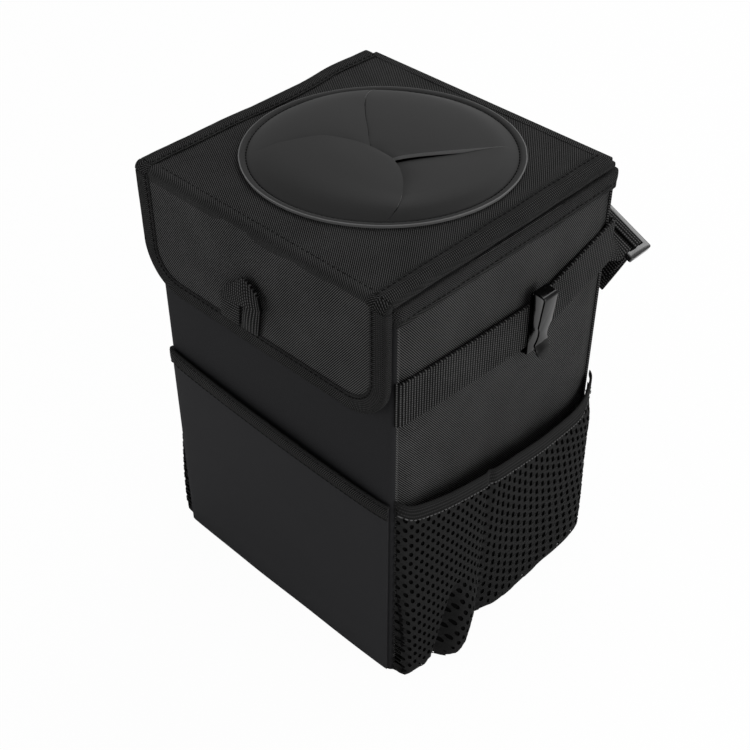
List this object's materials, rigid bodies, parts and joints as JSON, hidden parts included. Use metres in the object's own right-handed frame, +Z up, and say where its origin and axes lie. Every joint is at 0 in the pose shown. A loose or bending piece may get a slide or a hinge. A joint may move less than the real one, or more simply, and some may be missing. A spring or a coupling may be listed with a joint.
{
  "type": "car trash bin",
  "caption": "Square soft-sided car litter bin with a hinged lid, a slit disc to push litter through, a front flap, pockets and hanging straps.",
  "frame": {"origin": "middle of the underside, which the bin stands on", "axes": "+Z up, -Y is the front with the flap, +Y is the back with the lid's hinge, +X is the side with the strap adjuster behind it"},
  "size_m": [0.187, 0.1916, 0.255],
  "materials": {
    "panel_cloth": "coated polyester cloth with a fine diagonal weave",
    "front_cloth": "smooth coated polyester cloth",
    "board": "stiff plastic sheet",
    "liner_sheet": "smooth waterproof sheet",
    "binding_tape": "woven edging tape",
    "mesh": "knitted open mesh",
    "elastic": "folded elastic tape",
    "webbing": "ribbed polypropylene webbing",
    "adjuster_plastic": "glossy moulded plastic",
    "clip_steel": "glossy black spring steel",
    "closure_loop": "soft loop strip",
    "closure_hook": "hook strip",
    "disc_foam": "smooth soft foam sheet"
  },
  "bodies": {
    "bin": {"bottom_panel": "panel_cloth", "front_panel": "front_cloth", "back_panel": "panel_cloth", "left_panel": "panel_cloth", "right_panel": "panel_cloth", "base_board": "board", "front_board": "board", "back_board": "board", "left_board": "board", "right_board": "board", "liner": "liner_sheet", "rim_tape": "binding_tape", "front_pocket": "front_cloth", "front_pocket_tape": "binding_tape", "right_mesh_pocket": "mesh", "left_mesh_pocket": "mesh", "right_elastic_hem": "elastic", "left_elastic_hem": "elastic", "right_strap": "webbing", "back_strap": "webbing", "strap_adjuster": "adjuster_plastic", "right_bag_clip": "clip_steel", "left_bag_clip": "clip_steel", "front_loop_strip": "closure_loop"},
    "lid": {"lid_top_panel": "panel_cloth", "lid_board": "board", "lid_lining": "liner_sheet", "lid_tape": "binding_tape", "slit_disc": "disc_foam"},
    "flap": {"flap_panel": "panel_cloth", "flap_board": "board", "flap_lining": "liner_sheet", "flap_tape": "binding_tape", "flap_hook_strip": "closure_hook", "pull_loop": "webbing"}
  },
  "joints": [
    {"name": "lid_hinge", "type": "hinge", "parent": "bin", "child": "lid", "pos_m": [0, 0.077, 0.245], "axis": [-1, 0, 0], "range_deg": [0, 210]},
    {"name": "flap_hinge", "type": "hinge", "parent": "lid", "child": "flap", "pos_m": [0, -0.083, 0.245], "axis": [-1, 0, 0], "range_deg": [0, 235]}
  ]
}
